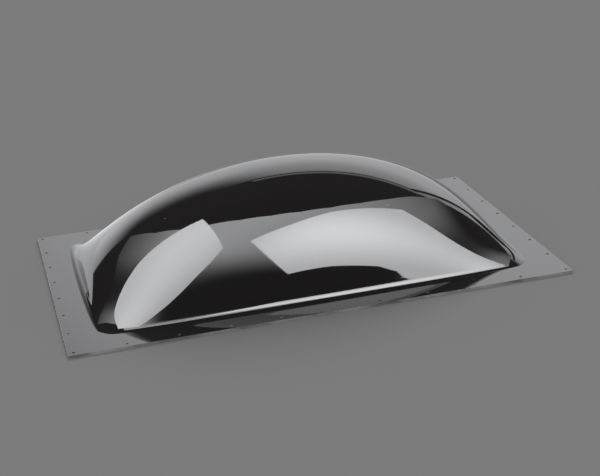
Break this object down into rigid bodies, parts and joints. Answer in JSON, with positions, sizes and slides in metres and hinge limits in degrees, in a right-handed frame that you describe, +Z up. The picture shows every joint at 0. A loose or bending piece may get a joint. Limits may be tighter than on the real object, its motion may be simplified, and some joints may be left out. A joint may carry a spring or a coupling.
{
  "type": "roof skylight",
  "caption": "Rectangular blown acrylic skylight dome with a flat screw-down flange and cut corners, hollow and open underneath.",
  "frame": {"origin": "middle of the flange's underside", "axes": "+X along the length, +Y across the width, +Z up out of the roof"},
  "size_m": [0.762, 0.457, 0.162],
  "materials": {
    "dark_acrylic": "high gloss, almost black tint, polished as cast"
  },
  "bodies": {
    "root": {"skylight_dome": "dark_acrylic"}
  },
  "joints": []
}
